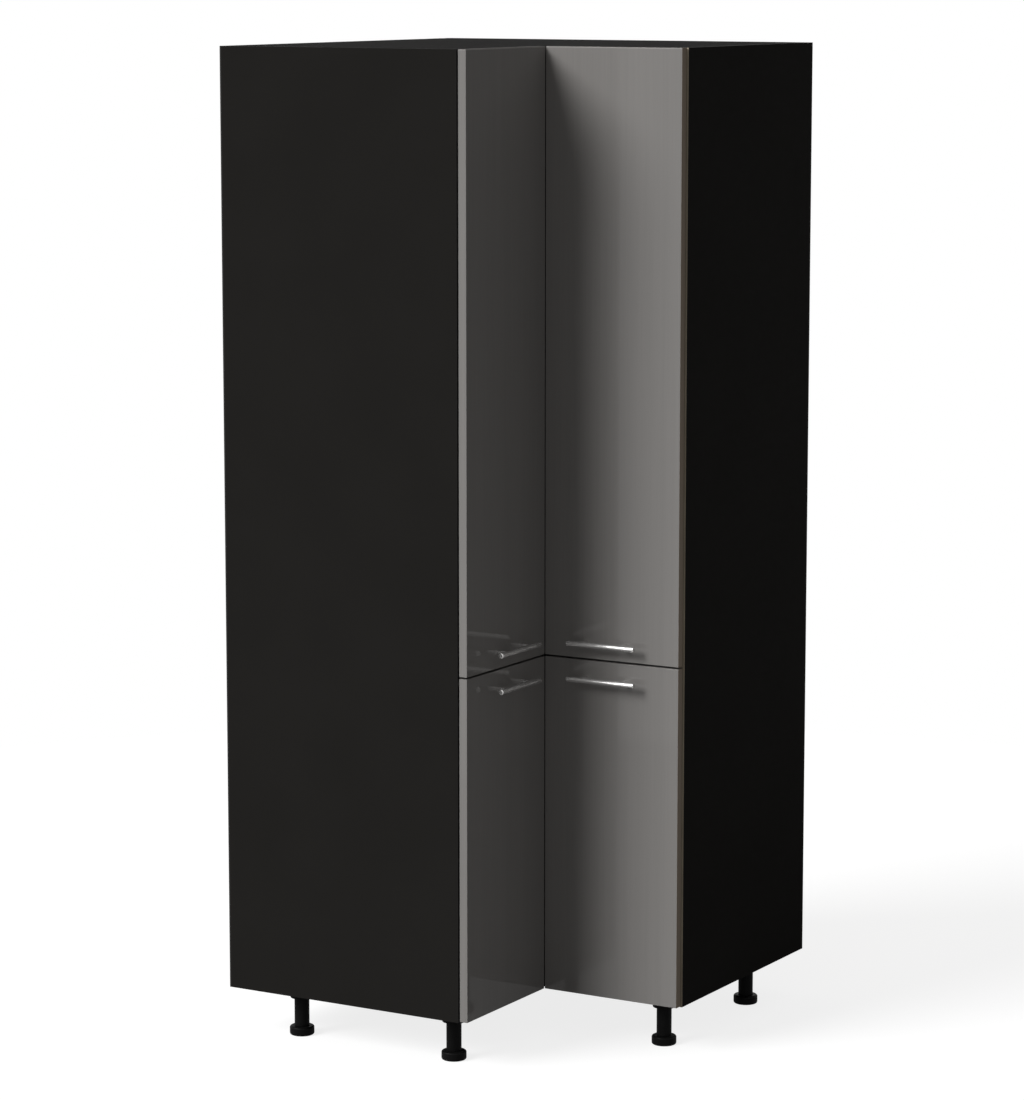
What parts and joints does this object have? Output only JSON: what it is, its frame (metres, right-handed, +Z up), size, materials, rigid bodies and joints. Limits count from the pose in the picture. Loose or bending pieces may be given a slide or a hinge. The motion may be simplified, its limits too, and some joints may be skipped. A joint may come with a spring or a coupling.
{
  "type": "corner pantry cabinet",
  "caption": "Tall L-shaped corner pantry cabinet with folding pairs of gloss doors, round bar handles, inner shelves and levelling feet.",
  "frame": {"origin": "on the floor, at the centre of the square plan", "axes": "+Z up, +Y towards the rear wall, -X towards the left wall; the notch with the doors faces +X and -Y"},
  "size_m": [0.9, 0.9, 2.07],
  "materials": {
    "carcass_board": "matt black melamine",
    "back_board": "plain hardboard",
    "door_front": "high gloss grey",
    "edge_band": "brown edging, black on the left",
    "handle_steel": "satin",
    "screw_steel": "zinc plated",
    "hinge_steel": "nickel plated",
    "fold_steel": "blackened",
    "cam_zinc": "die cast",
    "dowel_wood": "bare beech",
    "leg_plastic": "black moulded",
    "bumper": "clear soft pad"
  },
  "bodies": {
    "carcass": {"left_end_panel": "carcass_board", "right_end_panel": "carcass_board", "top_panel": "carcass_board", "bottom_panel": "carcass_board", "middle_panel": "carcass_board", "rear_corner_stile": "carcass_board", "lower_shelf": "carcass_board", "upper_shelf_1": "carcass_board", "upper_shelf_2": "carcass_board", "upper_shelf_3": "carcass_board", "left_back_panel": "back_board", "rear_back_panel": "back_board", "front_edge_bands": "edge_band", "door_bumpers": "bumper", "cam_housings": "cam_zinc", "cam_bolts": "screw_steel", "dowels": "dowel_wood", "shelf_pins": "screw_steel", "back_panel_screws": "screw_steel", "stile_screws": "screw_steel", "wood_screws": "screw_steel", "wall_brackets": "screw_steel", "hinge_plates": "hinge_steel", "hinge_arms": "hinge_steel", "hinge_arm_screws": "hinge_steel", "leg_flanges": "leg_plastic", "leg_posts": "leg_plastic"},
    "lower_right_leaf": {"lower_right_door": "door_front", "lower_right_handle_bar": "handle_steel", "lower_right_handle_posts": "handle_steel", "lower_right_handle_screws": "screw_steel", "lower_right_hinge_cups": "hinge_steel", "lower_right_hinge_screws": "screw_steel", "lower_right_fold_plates": "fold_steel"},
    "lower_left_leaf": {"lower_left_door": "door_front", "lower_left_handle_bar": "handle_steel", "lower_left_handle_posts": "handle_steel", "lower_left_handle_screws": "screw_steel", "lower_left_hinge_screws": "screw_steel", "lower_left_fold_plates": "fold_steel"},
    "lower_links": {"lower_right_hinge_links": "hinge_steel"},
    "upper_right_leaf": {"upper_right_door": "door_front", "upper_right_handle_bar": "handle_steel", "upper_right_handle_posts": "handle_steel", "upper_right_handle_screws": "screw_steel", "upper_right_hinge_cups": "hinge_steel", "upper_right_hinge_screws": "screw_steel", "upper_right_fold_plates": "fold_steel"},
    "upper_left_leaf": {"upper_left_door": "door_front", "upper_left_handle_bar": "handle_steel", "upper_left_handle_posts": "handle_steel", "upper_left_handle_screws": "screw_steel", "upper_left_hinge_screws": "screw_steel", "upper_left_fold_plates": "fold_steel"},
    "upper_links": {"upper_right_hinge_links": "hinge_steel"},
    "foot_front_right_body": {"foot_front_right": "leg_plastic"},
    "foot_back_right_body": {"foot_back_right": "leg_plastic"},
    "foot_front_left_body": {"foot_front_left": "leg_plastic"},
    "foot_back_left_body": {"foot_back_left": "leg_plastic"},
    "foot_rear_corner_body": {"foot_rear_corner": "leg_plastic"}
  },
  "joints": [
    {"name": "lower_link_pivot", "type": "hinge", "parent": "carcass", "child": "lower_links", "pos_m": [0.414, -0.105, 0.4575], "axis": [0, 0, -1], "range_deg": [0, 38.5]},
    {"name": "lower_door_pivot", "type": "hinge", "parent": "lower_links", "child": "lower_right_leaf", "pos_m": [0.436, -0.1195, 0.4575], "axis": [0, 0, 1], "range_deg": [0, 148.6]},
    {"name": "lower_fold_pivot", "type": "hinge", "parent": "lower_right_leaf", "child": "lower_left_leaf", "pos_m": [0.119, -0.119, 0.4575], "axis": [0, 0, -1], "range_deg": [0, 60.1]},
    {"name": "upper_link_pivot", "type": "hinge", "parent": "carcass", "child": "upper_links", "pos_m": [0.414, -0.105, 1.4435], "axis": [0, 0, -1], "range_deg": [0, 38.5]},
    {"name": "upper_door_pivot", "type": "hinge", "parent": "upper_links", "child": "upper_right_leaf", "pos_m": [0.436, -0.1195, 1.4435], "axis": [0, 0, 1], "range_deg": [0, 148.6]},
    {"name": "upper_fold_pivot", "type": "hinge", "parent": "upper_right_leaf", "child": "upper_left_leaf", "pos_m": [0.119, -0.119, 1.4435], "axis": [0, 0, -1], "range_deg": [0, 60.1]},
    {"name": "foot_front_right_screw", "type": "slide", "parent": "carcass", "child": "foot_front_right_body", "axis": [0, 0, -1], "range_m": [0, 0.02]},
    {"name": "foot_back_right_screw", "type": "slide", "parent": "carcass", "child": "foot_back_right_body", "axis": [0, 0, -1], "range_m": [0, 0.02]},
    {"name": "foot_front_left_screw", "type": "slide", "parent": "carcass", "child": "foot_front_left_body", "axis": [0, 0, -1], "range_m": [0, 0.02]},
    {"name": "foot_back_left_screw", "type": "slide", "parent": "carcass", "child": "foot_back_left_body", "axis": [0, 0, -1], "range_m": [0, 0.02]},
    {"name": "foot_rear_corner_screw", "type": "slide", "parent": "carcass", "child": "foot_rear_corner_body", "axis": [0, 0, -1], "range_m": [0, 0.02]}
  ],
  "couplings": [
    {"joint": "lower_door_pivot", "follows": "lower_link_pivot", "ratio": 3.8571},
    {"joint": "lower_fold_pivot", "follows": "lower_link_pivot", "ratio": 1.5584},
    {"joint": "upper_door_pivot", "follows": "upper_link_pivot", "ratio": 3.8571},
    {"joint": "upper_fold_pivot", "follows": "upper_link_pivot", "ratio": 1.5584}
  ]
}
